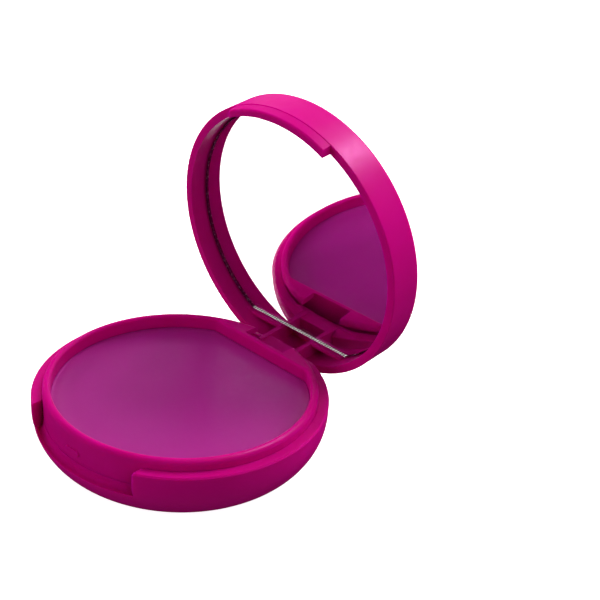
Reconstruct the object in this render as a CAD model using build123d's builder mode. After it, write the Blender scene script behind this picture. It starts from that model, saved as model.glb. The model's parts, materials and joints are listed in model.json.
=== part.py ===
"""Round mirror compact with a pan of solid balm.

All sizes are in millimetres. The origin is the centre of the flat foot, +Z is up,
the hinge runs along X at the back (+Y) and the thumb recess is at the front (-Y).
The lid parts are drawn closed and then swung open about the hinge axis.
"""
from build123d import *
from math import cos, radians, tan
import os

os.makedirs("parts", exist_ok=True)

# ---- driving dimensions ------------------------------------------------------
outer_radius = 30.0
open_angle = 84.0

# base shell
foot_radius = 20.0
ledge_z = 13.0
skirt_height = 2.3
shell_wall = 1.7
shoulder_z = 8.8
shoulder_radius = 26.3
ledge_ease = 0.3

# balm pan
pan_outer = 27.75
pan_inner = 26.15
pan_top_z = 15.2
pan_floor = 1.2
pan_draft = 0.1
draft_drop = 0.4
chord_inner_y = 22.3
chord_outer_y = 23.4
pan_corner = 3.2
deck_thickness = 1.3
notch_half = 5.6
rim_round = 1.0
rim_inner_round = 0.5
balm_drop = 3.2

# lid shell
rim_gap = 0.1
lid_height = 8.4
lid_inner = 28.2
lid_roof = 1.8
shoulder_width = 4.0
shoulder_drop = 1.6
rim_edge_round = 0.25
tab_half = 12.8
tab_height = 2.3
tab_root = 0.5
tab_step = 0.12
tab_draft = 0.35
tab_round = 0.5
recess_half = 15.1
recess_z = 7.5
lip_radius = 29.3
channel_radius = 28.9
channel_z = 7.0
channel_round = 0.9
overcut = 1.0

# mirror, its silvered back and the foam pad behind it
mirror_radius = 27.9
mirror_chord_y = 24.15
mirror_corner = 1.6
mirror_depth = 3.85
mirror_thickness = 0.9
silver_thickness = 0.06
pad_thickness = 0.9
pad_radius = 21.0
pad_bore = 9.0
seat_margin = 0.6

# hinge
hinge_y = 27.3
hinge_z = 10.0
pin_diameter = 1.5
pin_half = 8.0
pin_ease = 0.2
running_gap = 0.05
arm_x = 4.5
arm_thickness = 1.0
ear_radius = 2.45
arm_front = 2.7
arm_back = 2.25
stop_gap = 0.06
barrel_radius = 2.35
barrel_half = 4.2
web_front_y = 24.9
web_top_z = 12.7
cheek_in = 5.3
cheek_out = 8.3
cheek_radius = 2.6
relief_radius = 2.85
pocket_gap = 0.3
pocket_z = 5.9
sill_setback = 1.3

# ribs inside the lid
rib_z = 16.1
rib_y = 24.4
rib_thickness = 0.8
rib_end_x = 13.6
pip_x = 14.7
pip_y = 24.65
pip_radius = 0.72

# front catch
nib_z = 10.9
nib_half = 1.85
nib_radius = 0.45
nib_reach = 28.0
nib_root = 1.0
nib_draft_angle = 20
catch_half = 3.8
catch_height = 0.45
catch_reach = 28.1
catch_root = 0.3
catch_rise = 0.1

# ---- derived values ----------------------------------------------------------
curve_top_z = ledge_z - skirt_height
rim_z = ledge_z + rim_gap
lid_top_z = rim_z + lid_height
roof_z = lid_top_z - lid_roof
mirror_z = rim_z + mirror_depth
silver_z = mirror_z + mirror_thickness
pad_z = silver_z + silver_thickness
seat_z = pad_z + pad_thickness
balm_z = pan_top_z - balm_drop
pan_bottom_z = shoulder_z
open_lean = radians(90 - open_angle)
sill_slope = tan(open_lean)
sill_z = hinge_z - arm_back / cos(open_lean) - stop_gap
hinge_axis = Axis((0, hinge_y, hinge_z), (1, 0, 0))
ABOVE = 30.0


def side_plane(x):
    """Sketch plane square to the hinge: its x runs along +Y and its y along +Z."""
    return Plane(origin=(x, 0, 0), x_dir=(0, 1, 0), z_dir=(1, 0, 0))


def bowl_profile(wall):
    """Half section of the bowl and skirt, moved inwards by wall."""
    with BuildSketch(Plane.XZ, mode=Mode.PRIVATE) as profile:
        with BuildLine():
            Line((0, wall), (foot_radius, wall))
            EllipticalCenterArc(
                (foot_radius, curve_top_z),
                outer_radius - foot_radius - wall,
                curve_top_z - wall,
                start_angle=270,
                arc_size=90,
            )
            Line((outer_radius - wall, curve_top_z), (outer_radius - wall, ledge_z))
            Line((outer_radius - wall, ledge_z), (0, ledge_z))
            Line((0, ledge_z), (0, wall))
        make_face()
        chamfer(profile.vertices().sort_by(SortBy.DISTANCE)[-1], ledge_ease)
    return profile.sketch


def chord_disc(radius, chord_y, corner):
    """Circle cut off by a straight chord towards the hinge, with rounded corners."""
    with BuildSketch(mode=Mode.PRIVATE) as disc:
        Circle(radius)
        with Locations((0, chord_y + radius)):
            Rectangle(4 * radius, 2 * radius, mode=Mode.SUBTRACT)
        ends = disc.vertices().group_by(Axis.Y)[-1]
        fillet(ends, corner)
    return disc.sketch


def save(piece, label):
    piece.label = label
    export_step(piece, f"parts/{label}.step")


# ---- base shell: bowl, skirt, thumb recess and hinge cheeks ------------------
with BuildPart() as base_shell:
    # bowl and skirt, thick enough under the pan to carry its edge
    revolve(bowl_profile(0), axis=Axis.Z)

    # bore for the pan, down to the shoulder
    with BuildSketch(Plane.XY.offset(shoulder_z)):
        Circle(pan_outer + running_gap)
    extrude(amount=ABOVE, mode=Mode.SUBTRACT)

    # hollow below the shoulder, parallel to the bowl outside
    with BuildSketch(Plane.XZ):
        add(bowl_profile(shell_wall))
        Rectangle(2 * shoulder_radius, 4 * ledge_z, mode=Mode.INTERSECT)
    revolve(axis=Axis.Z, mode=Mode.SUBTRACT)

    # cheeks that hold the hinge pin, standing on the bowl behind the pan
    with BuildSketch(side_plane(-cheek_out)):
        with Locations((hinge_y, hinge_z)):
            Circle(cheek_radius)
        with Locations((hinge_y - cheek_radius / 2, hinge_z / 2)):
            Rectangle(cheek_radius, hinge_z)
        with Locations((hinge_y, hinge_z / 2)):
            Rectangle(2 * cheek_radius, hinge_z)
    extrude(amount=2 * cheek_out)

    # pocket in which the lid's arms and barrel turn, open to the back above a sill;
    # the arms' back edges come down on the sill when the lid is open
    with BuildSketch(side_plane(-cheek_in)):
        with BuildLine():
            Polyline(
                (chord_outer_y + pocket_gap, ABOVE),
                (chord_outer_y + pocket_gap, pocket_z),
                (hinge_y + sill_setback, pocket_z),
                (hinge_y + sill_setback, sill_z + sill_setback * sill_slope),
                (hinge_y + ABOVE, sill_z + ABOVE * sill_slope),
                (hinge_y + ABOVE, 2 * ABOVE),
                (chord_outer_y + pocket_gap, 2 * ABOVE),
                close=True,
            )
        make_face()
    extrude(amount=2 * cheek_in, mode=Mode.SUBTRACT)

    # relief round the hinge axis, so that the lid's rim can swing down behind
    with BuildSketch(side_plane(-outer_radius)):
        with Locations((hinge_y + ABOVE / 2, hinge_z + ABOVE / 2)):
            Rectangle(ABOVE, ABOVE)
        with Locations((hinge_y, hinge_z)):
            Circle(relief_radius, mode=Mode.SUBTRACT)
    extrude(amount=2 * outer_radius, mode=Mode.SUBTRACT)

    # trim whatever stands proud of the bowl outside
    revolve(bowl_profile(0), axis=Axis.Z, mode=Mode.INTERSECT)

    # thumb recess: the skirt is cut away down to a lip, with a channel behind it
    with BuildSketch(Plane.XZ) as recess_section:
        Polygon(
            (pan_outer, ledge_z + overcut),
            (outer_radius + overcut, ledge_z + overcut),
            (outer_radius + overcut, recess_z),
            (lip_radius, recess_z),
            (channel_radius, channel_z),
            (pan_outer, channel_z),
            align=None,
        )
        floor_corner = recess_section.vertices().group_by(Axis.X)[0].sort_by(Axis.Y)[0]
        fillet(floor_corner, channel_round)
    recess = revolve(axis=Axis.Z, mode=Mode.PRIVATE)
    with Locations((0, -outer_radius / 2 - overcut, ledge_z)):
        recess_box = Box(2 * recess_half, outer_radius + 2 * overcut, 4 * ledge_z, mode=Mode.PRIVATE)
    add(recess & recess_box, mode=Mode.SUBTRACT)

    # pin bores in the cheeks; the one on the left runs out through the skirt
    with BuildSketch(side_plane(pin_half)):
        with Locations((hinge_y, hinge_z)):
            Circle(pin_diameter / 2)
    extrude(amount=-(pin_half + outer_radius), mode=Mode.SUBTRACT)
save(base_shell.part, "base_shell")

# ---- balm pan: D-shaped cup with its rim ring and hinge deck -----------------
with BuildPart() as balm_pan:
    # cup outside, slightly drafted towards its floor
    with BuildSketch(Plane.XZ):
        Polygon(
            (0, pan_bottom_z),
            (pan_outer - pan_draft, pan_bottom_z),
            (pan_outer, ledge_z - draft_drop),
            (pan_outer, pan_top_z),
            (0, pan_top_z),
            align=None,
        )
    revolve(axis=Axis.Z)
    fillet(balm_pan.edges().group_by(Axis.Z)[-1], rim_round)
    # behind the chord wall only the deck plate is left
    with Locations((0, chord_outer_y + ABOVE / 2, pan_top_z - deck_thickness - ABOVE / 2)):
        Box(4 * outer_radius, ABOVE, ABOVE, mode=Mode.SUBTRACT)
    # notch in the deck for the lid's arms
    with Locations((0, chord_outer_y + ABOVE / 2, pan_top_z)):
        Box(2 * notch_half, ABOVE, ABOVE, mode=Mode.SUBTRACT)
    # the well that holds the balm
    with BuildSketch(Plane.XY.offset(pan_bottom_z + pan_floor)):
        add(chord_disc(pan_inner, chord_inner_y, pan_corner))
    extrude(amount=ABOVE, mode=Mode.SUBTRACT)
    top_edges = balm_pan.edges().group_by(Axis.Z)[-1]
    in_well = (pan_inner + pan_outer - rim_round) / 2
    well_mouth = top_edges.filter_by(lambda e: (e @ 0.5).Y < (chord_inner_y + chord_outer_y) / 2)
    well_mouth = well_mouth.filter_by(lambda e: Vector((e @ 0.5).X, (e @ 0.5).Y).length < in_well)
    fillet(well_mouth, rim_inner_round)
    # latch nib on the front of the wall
    with BuildSketch(Plane.XZ.offset(nib_reach)):
        with Locations((0, nib_z)):
            SlotOverall(2 * nib_half, 2 * nib_radius)
    extrude(amount=-nib_root, taper=-nib_draft_angle)
save(balm_pan.part, "balm_pan")

# ---- balm: poured flat into the pan ------------------------------------------
with BuildPart() as balm_fill:
    with BuildSketch(Plane.XY.offset(pan_bottom_z + pan_floor)):
        add(chord_disc(pan_inner, chord_inner_y, pan_corner))
    extrude(amount=balm_z - pan_bottom_z - pan_floor)
save(balm_fill.part, "balm_fill")

# ---- hinge pin ----------------------------------------------------------------
with BuildPart() as hinge_pin:
    with BuildSketch(side_plane(-pin_half)):
        with Locations((hinge_y, hinge_z)):
            Circle(pin_diameter / 2)
    extrude(amount=2 * pin_half)
    chamfer(hinge_pin.edges().filter_by(GeomType.CIRCLE), pin_ease)
save(hinge_pin.part, "hinge_pin")

# ---- lid shell (drawn closed) --------------------------------------------------
with BuildPart() as lid_shell:
    # cup with a soft shoulder round a flat crown
    with BuildSketch(Plane.XZ) as cup:
        with BuildLine():
            crown_radius = outer_radius - shoulder_width
            shoulder_base_z = lid_top_z - shoulder_drop
            Line((0, rim_z), (outer_radius, rim_z))
            Line((outer_radius, rim_z), (outer_radius, shoulder_base_z))
            EllipticalCenterArc(
                (crown_radius, shoulder_base_z),
                shoulder_width,
                shoulder_drop,
                start_angle=0,
                arc_size=90,
            )
            Line((crown_radius, lid_top_z), (0, lid_top_z))
            Line((0, lid_top_z), (0, rim_z))
        make_face()
        fillet(cup.vertices().group_by(Axis.X)[-1].sort_by(Axis.Y)[0], rim_edge_round)
    revolve(axis=Axis.Z)
    with BuildSketch(Plane.XY.offset(rim_z)):
        Circle(lid_inner)
    extrude(amount=roof_z - rim_z, mode=Mode.SUBTRACT)

    # thumb tab: the rim carried down at the front, its outside leaning in a little
    with BuildSketch(Plane.XZ) as tab:
        Polygon(
            (lid_inner, rim_z + tab_root),
            (lid_inner, rim_z - tab_height),
            (outer_radius - tab_draft, rim_z - tab_height),
            (outer_radius - tab_step, rim_z),
            (outer_radius - tab_step, rim_z + tab_root),
            align=None,
        )
        fillet(tab.vertices().group_by(Axis.Y)[0].sort_by(Axis.X)[-1], tab_round)
    tab_ring = revolve(axis=Axis.Z, mode=Mode.PRIVATE)
    with Locations((0, -outer_radius, rim_z)):
        tab_box = Box(2 * tab_half, outer_radius, 4 * tab_height, mode=Mode.PRIVATE)
    add(tab_ring & tab_box)

    # catch along the inside of the tab
    with BuildSketch(Plane.XY.offset(rim_z - tab_height + catch_rise)):
        Circle(lid_inner + catch_root)
        Circle(catch_reach, mode=Mode.SUBTRACT)
        with Locations((0, -outer_radius)):
            Rectangle(2 * catch_half, outer_radius, mode=Mode.INTERSECT)
    extrude(amount=catch_height)

    # raised seat for the foam pad
    with BuildSketch(Plane.XY.offset(seat_z)):
        Circle(pad_radius + seat_margin)
        Circle(pad_bore - seat_margin, mode=Mode.SUBTRACT)
    extrude(amount=roof_z - seat_z)

    # ribs along the mirror's chord, each with a pip just past its outer end
    for side in (-1, 1):
        rib_length = rib_end_x - arm_x
        rib_x = side * (arm_x + rib_length / 2)
        with Locations((rib_x, rib_y + rib_thickness / 2, (rib_z + roof_z) / 2)):
            Box(rib_length, rib_thickness, roof_z - rib_z)
        with BuildSketch(Plane.XY.offset(rib_z)):
            with Locations((side * pip_x, pip_y)):
                Circle(pip_radius)
        extrude(amount=roof_z - rib_z)

    # hinge arms: plates from the roof down to rounded ears
    for side in (-1, 1):
        with BuildSketch(side_plane(side * arm_x - arm_thickness / 2)):
            with Locations((hinge_y, hinge_z)):
                Circle(ear_radius)
            with Locations((hinge_y + (arm_back - arm_front) / 2, (hinge_z + roof_z) / 2)):
                Rectangle(arm_front + arm_back, roof_z - hinge_z)
        extrude(amount=arm_thickness)

    # barrel and web between the arms
    with BuildSketch(side_plane(-barrel_half)):
        with Locations((hinge_y, hinge_z)):
            Circle(barrel_radius)
        with Locations(((web_front_y + hinge_y) / 2, (hinge_z + web_top_z) / 2)):
            Rectangle(hinge_y - web_front_y, web_top_z - hinge_z)
    extrude(amount=2 * barrel_half)

    # keep everything inside the lid's outside
    with BuildSketch(Plane.XY):
        Circle(outer_radius)
    extrude(amount=ABOVE, mode=Mode.INTERSECT)

    # running bore for the pin
    with BuildSketch(side_plane(-2 * arm_x)):
        with Locations((hinge_y, hinge_z)):
            Circle(pin_diameter / 2 + running_gap)
    extrude(amount=4 * arm_x, mode=Mode.SUBTRACT)
save(lid_shell.part.rotate(hinge_axis, -open_angle), "lid_shell")

# ---- mirror glass, silvering and foam pad (drawn closed) ----------------------
with BuildPart() as mirror_glass:
    with BuildSketch(Plane.XY.offset(mirror_z)):
        add(chord_disc(mirror_radius, mirror_chord_y, mirror_corner))
    extrude(amount=mirror_thickness)
save(mirror_glass.part.rotate(hinge_axis, -open_angle), "mirror_glass")

with BuildPart() as mirror_silvering:
    with BuildSketch(Plane.XY.offset(silver_z)):
        add(chord_disc(mirror_radius, mirror_chord_y, mirror_corner))
    extrude(amount=silver_thickness)
save(mirror_silvering.part.rotate(hinge_axis, -open_angle), "mirror_silvering")

with BuildPart() as mirror_pad:
    with BuildSketch(Plane.XY.offset(pad_z)):
        Circle(pad_radius)
        Circle(pad_bore, mode=Mode.SUBTRACT)
    extrude(amount=pad_thickness)
save(mirror_pad.part.rotate(hinge_axis, -open_angle), "mirror_pad")
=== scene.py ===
"""Looks of the round mirror compact: materials, the poured balm, the mirror, camera and studio."""
import json
import math

import bpy
from mathutils import Matrix, Vector


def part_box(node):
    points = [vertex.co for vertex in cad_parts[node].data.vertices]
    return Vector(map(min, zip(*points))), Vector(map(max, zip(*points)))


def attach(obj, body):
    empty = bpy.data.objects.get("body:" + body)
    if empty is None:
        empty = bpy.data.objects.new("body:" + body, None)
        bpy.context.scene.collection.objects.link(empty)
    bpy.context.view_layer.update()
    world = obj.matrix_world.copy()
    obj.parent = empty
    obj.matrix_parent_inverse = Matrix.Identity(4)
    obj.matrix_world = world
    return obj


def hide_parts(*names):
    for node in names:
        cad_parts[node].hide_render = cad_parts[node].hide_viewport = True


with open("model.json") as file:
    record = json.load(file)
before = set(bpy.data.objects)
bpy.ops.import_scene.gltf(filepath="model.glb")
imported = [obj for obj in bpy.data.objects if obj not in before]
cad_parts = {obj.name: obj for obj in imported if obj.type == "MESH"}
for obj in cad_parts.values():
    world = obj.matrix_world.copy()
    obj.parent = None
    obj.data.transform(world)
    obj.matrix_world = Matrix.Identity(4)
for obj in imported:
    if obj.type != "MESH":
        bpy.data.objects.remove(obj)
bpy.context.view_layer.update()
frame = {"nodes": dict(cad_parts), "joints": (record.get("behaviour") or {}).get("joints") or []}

MM = 0.001
MAGENTA = (0.67, 0.002, 0.25)
MAGENTA_DEEP = (0.63, 0.001, 0.225)
GLASS_IOR = 1.5
WHEEL_MARKS_PER_METRE = 1500
WAVE_SCALE_PER_BAND = math.pi / 10
MARK_EDGE = (0.4, 0.7)

hinge = frame["joints"][0]
hinge_point = Vector(hinge["pos_m"])
open_angle = math.radians(hinge["range_deg"][1])
swing_open = (
    Matrix.Translation(hinge_point)
    @ Matrix.Rotation(-open_angle, 4, "X")
    @ Matrix.Translation(-hinge_point)
)
swing_shut = swing_open.inverted()


def shut_box(node):
    """Lowest and highest corner of a lid node, measured with the lid closed."""
    points = [swing_shut @ v.co for v in frame["nodes"][node].data.vertices]
    low = Vector([min(p[i] for p in points) for i in range(3)])
    high = Vector([max(p[i] for p in points) for i in range(3)])
    return low, high


# ---- material helpers ---------------------------------------------------------
class Nodes:
    """Short calls for one material's node tree."""

    def __init__(self, name):
        self.material = bpy.data.materials.new(name)
        self.material.use_nodes = True
        self.tree = self.material.node_tree
        self.tree.nodes.clear()
        self.out = self.tree.nodes.new("ShaderNodeOutputMaterial")
        self.coords = self.tree.nodes.new("ShaderNodeTexCoord").outputs["Object"]

    def node(self, kind, **values):
        made = self.tree.nodes.new(kind)
        for key, value in values.items():
            setattr(made, key, value)
        return made

    def link(self, source, target):
        self.tree.links.new(source, target)

    def noise(self, scale, detail=3.0, roughness=0.5, stretch=None):
        """Noise factor in the range 0 to 1; scale is per metre."""
        made = self.node("ShaderNodeTexNoise")
        made.inputs["Scale"].default_value = scale
        made.inputs["Detail"].default_value = detail
        made.inputs["Roughness"].default_value = roughness
        source = self.coords
        if stretch:
            mapping = self.node("ShaderNodeMapping")
            mapping.inputs["Scale"].default_value = stretch
            self.link(source, mapping.inputs["Vector"])
            source = mapping.outputs["Vector"]
        self.link(source, made.inputs["Vector"])
        return made.outputs["Fac"]

    def spread(self, factor, low, high, start=0.3, stop=0.7):
        """Maps a factor onto the range from low to high."""
        made = self.node("ShaderNodeMapRange")
        made.inputs["From Min"].default_value = start
        made.inputs["From Max"].default_value = stop
        made.inputs["To Min"].default_value = low
        made.inputs["To Max"].default_value = high
        self.link(factor, made.inputs["Value"])
        return made.outputs["Result"]

    def blend(self, factor, first, second):
        """Colour between first and second."""
        made = self.node("ShaderNodeMix", data_type="RGBA")
        for socket in made.inputs:
            if socket.name == "A" and socket.type == "RGBA":
                socket.default_value = (*first, 1)
            if socket.name == "B" and socket.type == "RGBA":
                socket.default_value = (*second, 1)
        self.link(factor, made.inputs[0])
        return [s for s in made.outputs if s.type == "RGBA"][0]

    def bump(self, height, distance, strength=1.0, under=None):
        made = self.node("ShaderNodeBump")
        made.inputs["Strength"].default_value = strength
        made.inputs["Distance"].default_value = distance
        self.link(height, made.inputs["Height"])
        if under:
            self.link(under, made.inputs["Normal"])
        return made.outputs["Normal"]

    def principled(self, links=(), **values):
        made = self.node("ShaderNodeBsdfPrincipled")
        for key, value in values.items():
            made.inputs[key.replace("_", " ")].default_value = value
        for key, source in dict(links).items():
            self.link(source, made.inputs[key])
        self.link(made.outputs["BSDF"], self.out.inputs["Surface"])
        return made


def plastic(name):
    """Moulded magenta plastic: faint flow marks, fine satin grain."""
    n = Nodes(name)
    flow = n.noise(90, 4, 0.55)
    grain = n.noise(2600, 2, 0.5)
    wave = n.noise(160, 2, 0.4)
    normal = n.bump(wave, 0.03 * MM, 0.5)
    normal = n.bump(grain, 0.008 * MM, 0.6, normal)
    n.principled(
        {
            "Base Color": n.blend(n.spread(flow, 0, 1), MAGENTA_DEEP, MAGENTA),
            "Roughness": n.spread(n.noise(420, 3), 0.34, 0.42),
            "Normal": normal,
        },
        Specular_IOR_Level=0.1,
        Specular_Tint=(1.0, 0.35, 1.0, 1),
        Subsurface_Weight=0.5,
        Subsurface_Radius=(1.0, 0.1, 0.8),
        Subsurface_Scale=1.8 * MM,
    )
    return n.material


def waxy_balm():
    """Solid balm: waxy, slightly clouded, with a soft satin skin."""
    n = Nodes("balm_wax")
    cloud = n.noise(55, 5, 0.6)
    ripple = n.noise(130, 2, 0.4)
    skin = n.noise(900, 4, 0.6)
    normal = n.bump(ripple, 0.08 * MM, 0.25)
    normal = n.bump(skin, 0.004 * MM, 0.3, normal)
    n.principled(
        {
            "Base Color": n.blend(
                n.spread(cloud, 0, 1), (0.47, 0.014, 0.29), (0.51, 0.018, 0.315)
            ),
            "Roughness": n.spread(skin, 0.35, 0.43),
            "Normal": normal,
        },
        Specular_IOR_Level=0.5,
        Specular_Tint=(0.8, 0.5, 1.0, 1),
        Subsurface_Weight=0.25,
        Subsurface_Radius=(1.0, 0.2, 0.6),
        Subsurface_Scale=1.0 * MM,
    )
    return n.material


def clear_glass():
    """Float glass with a barely uneven polish."""
    n = Nodes("float_glass")
    n.principled(
        {"Roughness": n.spread(n.noise(300, 2), 0.0, 0.012)},
        Base_Color=(0.985, 0.985, 0.985, 1),
        IOR=GLASS_IOR,
        Transmission_Weight=1.0,
    )
    return n.material


def ground_edge_painted_glow():
    """Straight cut edge of the glass: dark wheel marks across its thickness, clear between them and
    painted pale pink there, a painted reflection of the bright light the edge gathers.
    """
    n = Nodes("ground_edge_painted_glow")
    wheel = n.node("ShaderNodeTexWave", bands_direction="X")
    wheel.inputs["Scale"].default_value = WHEEL_MARKS_PER_METRE * WAVE_SCALE_PER_BAND
    wheel.inputs["Distortion"].default_value = 0.8
    wheel.inputs["Detail Scale"].default_value = 2.0
    n.link(n.coords, wheel.inputs["Vector"])
    marks = wheel.outputs["Fac"]
    n.principled(
        {
            # pale pink between the wheel marks is a painted reflection of light in the glass edge
            "Base Color": n.blend(
                n.spread(marks, 0, 1, *MARK_EDGE), (0.1, 0.012, 0.05), (1.0, 0.6, 0.8)
            ),
            "Roughness": n.spread(marks, 0.3, 0.15),
            "Transmission Weight": n.spread(marks, 0.0, 0.6, *MARK_EDGE),
            "Normal": n.bump(marks, 0.03 * MM, 0.5),
        },
        IOR=GLASS_IOR,
        Specular_IOR_Level=0.1,
    )
    return n.material


def seamed_edge_painted_light():
    """Curved edge of the glass: seamed and dull, painted dark magenta as shade, with pale dots as
    painted glints.
    """
    n = Nodes("seamed_edge_painted_light")
    glint_dots = n.noise(1700, 3, 0.7)
    n.principled(
        {
            # dark magenta ground is painted shade; the pale dots are painted glints
            "Base Color": n.blend(
                n.spread(glint_dots, 0, 1, 0.54, 0.7), (0.1, 0.002, 0.045), (0.5, 0.22, 0.34)
            ),
            "Roughness": n.spread(glint_dots, 0.5, 0.7),
            "Normal": n.bump(glint_dots, 0.03 * MM, 0.6),
        },
        Specular_IOR_Level=0.0,
    )
    return n.material


def silvered():
    """Silver layer seen through the glass."""
    n = Nodes("silver_layer")
    n.principled(
        {
            "Base Color": n.blend(
                n.spread(n.noise(70, 2), 0, 1), (0.97, 0.96, 0.965), (0.975, 0.965, 0.97)
            ),
        },
        Metallic=1.0,
        Roughness=0.0,
    )
    return n.material


def foam():
    """Closed-cell foam tape."""
    n = Nodes("foam_pad")
    cells = n.node("ShaderNodeTexVoronoi")
    cells.inputs["Scale"].default_value = 2600
    n.link(n.coords, cells.inputs["Vector"])
    n.principled(
        {
            "Base Color": n.blend(cells.outputs["Distance"], (0.6, 0.6, 0.58), (0.85, 0.85, 0.83)),
            "Normal": n.bump(cells.outputs["Distance"], 0.05 * MM, 0.7),
        },
        Roughness=0.9,
    )
    return n.material


def drawn_steel():
    """Drawn steel wire with marks along its length."""
    n = Nodes("pin_wire")
    marks = n.noise(4000, 3, 0.6, (0.04, 1.0, 1.0))
    n.principled(
        {
            "Base Color": n.blend(n.spread(marks, 0, 1), (0.5, 0.5, 0.52), (0.66, 0.66, 0.68)),
            "Roughness": n.spread(marks, 0.22, 0.4),
            "Normal": n.bump(marks, 0.004 * MM, 0.5),
        },
        Metallic=1.0,
    )
    return n.material


def paint(node, material):
    """Gives one CAD node its material."""
    mesh = frame["nodes"][node].data
    mesh.materials.clear()
    mesh.materials.append(material)


# ---- shapes -------------------------------------------------------------------
ROUND_POINTS = 150
CHORD_POINTS = 48
CORNER_POINTS = 10


def chord_outline(radius, chord, corner):
    """Points round a disc cut off by a chord at y = chord, with rounded corners."""
    inner = radius - corner
    centre_y = chord - corner
    centre_x = math.sqrt(inner ** 2 - centre_y ** 2)
    turn = math.atan2(centre_y, centre_x)
    points = []

    def arc(cx, cy, r, a0, a1, count):
        for k in range(count):
            a = a0 + (a1 - a0) * k / count
            points.append((cx + r * math.cos(a), cy + r * math.sin(a)))

    arc(centre_x, centre_y, corner, turn, math.pi / 2, CORNER_POINTS)
    for k in range(CHORD_POINTS):
        points.append((centre_x - 2 * centre_x * k / CHORD_POINTS, chord))
    arc(-centre_x, centre_y, corner, math.pi / 2, math.pi - turn, CORNER_POINTS)
    arc(0, 0, radius, math.pi - turn, 2 * math.pi + turn, ROUND_POINTS)
    return points


def loft(name, rings):
    """Closed mesh through rings of equal point count."""
    points = [p for ring in rings for p in ring]
    count = len(rings[0])
    faces = []
    for i in range(len(rings) - 1):
        for k in range(count):
            a = i * count + k
            b = i * count + (k + 1) % count
            faces.append((a, b, b + count, a + count))
    faces.append(tuple(reversed(range(count))))
    last = (len(rings) - 1) * count
    faces.append(tuple(range(last, last + count)))
    mesh = bpy.data.meshes.new(name)
    mesh.from_pydata(points, [], faces)
    mesh.update()
    piece = bpy.data.objects.new(name, mesh)
    bpy.context.scene.collection.objects.link(piece)
    return piece


# ---- CAD nodes ----------------------------------------------------------------
for node, name in (
    ("base_shell", "shell_magenta"),
    ("balm_pan", "pan_magenta"),
    ("lid_shell", "lid_magenta"),
):
    paint(node, plastic(name))
paint("hinge_pin", drawn_steel())
paint("mirror_pad", foam())

# ---- balm ---------------------------------------------------------------------
WELL_CORNER = 3.2 * MM
LEAST_CORNER = 0.5 * MM
# distance in from the pan's wall and rise above the balm's level, in mm; None is the balm's underside
MENISCUS = (
    (0.0, None),
    (0.0, 0.3),
    (0.3, 0.16),
    (0.7, 0.13),
    (1.3, 0.14),
    (2.0, 0.07),
    (3.0, -0.03),
    (4.5, 0.0),
)
low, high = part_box("balm_fill")
well = high.x
chord = high.y
balm_level = high.z
rings = []
for inset, rise in MENISCUS:
    inset = inset * MM
    outline = chord_outline(well - inset, chord - inset, max(WELL_CORNER - inset, LEAST_CORNER))
    z = low.z if rise is None else balm_level + rise * MM
    rings.append([(x, y, z) for x, y in outline])
last = rings[-1]
for shrink in (0.9, 0.8, 0.7, 0.6, 0.5, 0.4, 0.3, 0.2, 0.1):
    rings.append([(x * shrink, y * shrink, balm_level) for x, y, z in last])
balm = loft("balm_pour", rings)
for polygon in balm.data.polygons:
    polygon.use_smooth = True
balm.data.materials.append(waxy_balm())
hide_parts("balm_fill")
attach(balm, "base")

# ---- mirror -------------------------------------------------------------------
ARRIS = 0.12 * MM
PANE_CORNER = 1.6 * MM
AIR = 0.01 * MM
low, high = shut_box("mirror_glass")
radius = high.x
chord = high.y
rings = []
for inset, z in ((ARRIS, low.z), (0.0, low.z + ARRIS), (0.0, high.z - ARRIS), (ARRIS, high.z)):
    outline = chord_outline(radius - inset, chord - inset, PANE_CORNER - inset)
    rings.append([swing_open @ Vector((x, y, z)) for x, y in outline])
pane = loft("mirror_pane", rings)
for material in (clear_glass(), ground_edge_painted_glow(), seamed_edge_painted_light()):
    pane.data.materials.append(material)
for polygon in pane.data.polygons:
    if len(polygon.vertices) > 4:
        polygon.material_index = 0
    else:
        polygon.material_index = 1 if (swing_shut @ polygon.center).y > chord - ARRIS else 2
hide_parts("mirror_glass")
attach(pane, "lid")

low, high = shut_box("mirror_silvering")
rings = []
for z in (low.z + AIR, high.z):
    outline = chord_outline(radius - ARRIS, chord - ARRIS, PANE_CORNER - ARRIS)
    rings.append([swing_open @ Vector((x, y, z)) for x, y in outline])
silver = loft("mirror_silver", rings)
silver.data.materials.append(silvered())
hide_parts("mirror_silvering")
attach(silver, "lid")

# ---- studio -------------------------------------------------------------------
AIM = Vector((0, 0.01, 0.03))
PANEL_DISTANCE = 0.8
FLOOR_SIZE = 6.0
FLOOR_DROP = 0.02 * MM
FILL_BELOW = 0.22
FILL_ABOVE = 0.0
MIRROR_RAY_DEPTH = 3
SECOND_LOOK = 0.7
# name, azimuth, elevation, size in metres, power in watts
SHAPE_LIGHTS = (
    ("back", 193, 35, 0.5, 4.7),
    ("back_right", 157, 35, 0.5, 4.3),
    ("left_low", 256, 12, 0.5, 4.0),
    ("left_high", 267, 38, 0.5, 0.9),
    ("front_left", 328, 14, 0.5, 2.3),
    ("top", 185, 66, 0.5, 1.7),
    ("right", 82, 36, 0.5, 1.6),
)
SHEEN_LIGHTS = (
    ("left_sheen", 211, 20, 0.6, 0.7),
    ("rim_sheen", 161, 56, 0.1, 9.0),
)
scene = bpy.context.scene
scene.view_settings.view_transform = "Standard"

bpy.ops.mesh.primitive_plane_add(size=FLOOR_SIZE, location=(0, 0, -FLOOR_DROP))
floor = bpy.context.object
floor.name = "studio_floor"
n = Nodes("pale_floor")
n.principled(
    Base_Color=(0.9, 0.9, 0.9, 1),
    Roughness=0.9,
    Specular_IOR_Level=0.0,
    Emission_Color=(1, 1, 1, 1),
    Emission_Strength=0.9,
)
floor.data.materials.append(n.material)
floor.visible_diffuse = False
floor.visible_glossy = False
floor.visible_shadow = False

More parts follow.
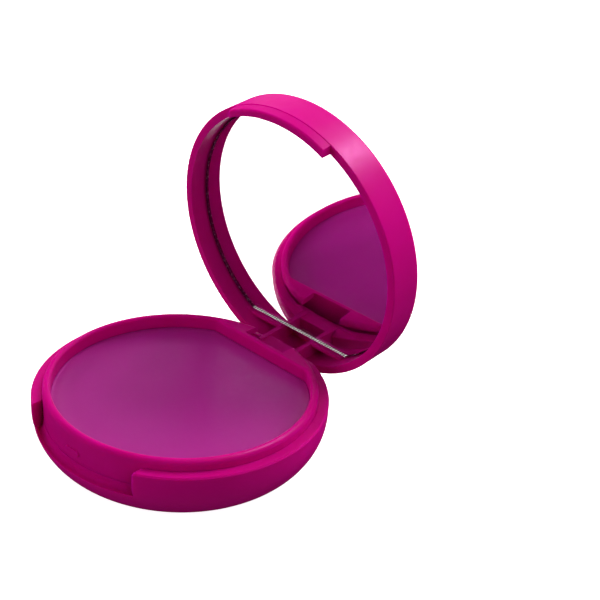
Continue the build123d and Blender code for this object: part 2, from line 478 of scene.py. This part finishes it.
world = bpy.data.worlds.new("studio_world")
scene.world = world
world.use_nodes = True
sky = world.node_tree
background = sky.nodes["Background"]
heading = sky.nodes.new("ShaderNodeTexCoord")
split = sky.nodes.new("ShaderNodeSeparateXYZ")
ramp = sky.nodes.new("ShaderNodeValToRGB")
rays = sky.nodes.new("ShaderNodeLightPath")
fills = zip(ramp.color_ramp.elements, (0.0, 0.5), (FILL_BELOW, FILL_ABOVE))
for element, position, brightness in fills:
    element.position = position
    element.color = (brightness, brightness, brightness, 1)


def sky_math(operation, first, second):
    """Math node between a socket and a socket or a number."""
    made = sky.nodes.new("ShaderNodeMath")
    made.operation = operation
    sky.links.new(first, made.inputs[0])
    if isinstance(second, float):
        made.inputs[1].default_value = second
    else:
        sky.links.new(second, made.inputs[1])
    return made.outputs[0]


# soft fill for diffuse rays, white where the camera looks straight or through the mirror glass
sky.links.new(heading.outputs["Generated"], split.inputs[0])
sky.links.new(split.outputs["Z"], ramp.inputs["Fac"])
fill = sky_math("MULTIPLY", ramp.outputs["Color"], rays.outputs["Is Diffuse Ray"])
first_look = sky_math("LESS_THAN", rays.outputs["Ray Depth"], MIRROR_RAY_DEPTH + 0.5)
glass_level = sky_math("MAXIMUM", first_look, SECOND_LOOK)
glass = sky_math("MULTIPLY", glass_level, rays.outputs["Is Transmission Ray"])
white = sky_math("MAXIMUM", glass, rays.outputs["Is Camera Ray"])
sky.links.new(sky_math("MAXIMUM", fill, white), background.inputs["Strength"])
background.inputs["Color"].default_value = (1, 1, 1, 1)


def heading_of(azimuth, elevation):
    """Unit vector towards a compass direction; azimuth 0 is -Y and 90 is +X."""
    a, e = math.radians(azimuth), math.radians(elevation)
    return Vector((math.sin(a) * math.cos(e), -math.cos(a) * math.cos(e), math.sin(e)))


def softbox(name, azimuth, elevation, size, power, diffuse=True, glossy=True):
    """Square panel light that faces the compact."""
    lamp = bpy.data.lights.new(name, "AREA")
    lamp.shape = "SQUARE"
    lamp.size = size
    lamp.energy = power
    panel = bpy.data.objects.new(name, lamp)
    scene.collection.objects.link(panel)
    towards = heading_of(azimuth, elevation)
    panel.location = AIM + towards * PANEL_DISTANCE
    panel.rotation_euler = (-towards).to_track_quat("-Z", "Y").to_euler()
    panel.visible_camera = False
    panel.visible_diffuse = diffuse
    panel.visible_glossy = glossy


for name, azimuth, elevation, size, power in SHAPE_LIGHTS:
    softbox(name, azimuth, elevation, size, power, glossy=False)
for name, azimuth, elevation, size, power in SHEEN_LIGHTS:
    softbox(name, azimuth, elevation, size, power, diffuse=False)

# ---- camera -------------------------------------------------------------------
AZIMUTH = 41.43
ELEVATION = 28.96
ROLL = math.radians(4.48)
DISTANCE = 279.24 * MM
SLIDE_RIGHT = 24.39 * MM
SLIDE_UP = 23.385 * MM
SENSOR_WIDTH = 36.0
FOCAL_PER_WIDTH = 1365.46 / 600
PIVOT = Vector((0, 0, 7.0 * MM))
back = heading_of(AZIMUTH, ELEVATION)
level_right = Vector((math.cos(math.radians(AZIMUTH)), math.sin(math.radians(AZIMUTH)), 0))
level_up = back.cross(level_right)
right = math.cos(ROLL) * level_right + math.sin(ROLL) * level_up
up = -math.sin(ROLL) * level_right + math.cos(ROLL) * level_up
place = PIVOT + back * DISTANCE + right * SLIDE_RIGHT + up * SLIDE_UP
camera_data = bpy.data.cameras.new("photo_view")
camera_data.sensor_width = SENSOR_WIDTH
camera_data.lens = FOCAL_PER_WIDTH * SENSOR_WIDTH
camera_data.clip_start = 0.01
camera = bpy.data.objects.new("photo_view", camera_data)
scene.collection.objects.link(camera)
turn = Matrix((right, up, back)).transposed().to_4x4()
camera.matrix_world = Matrix.Translation(place) @ turn
scene.camera = camera
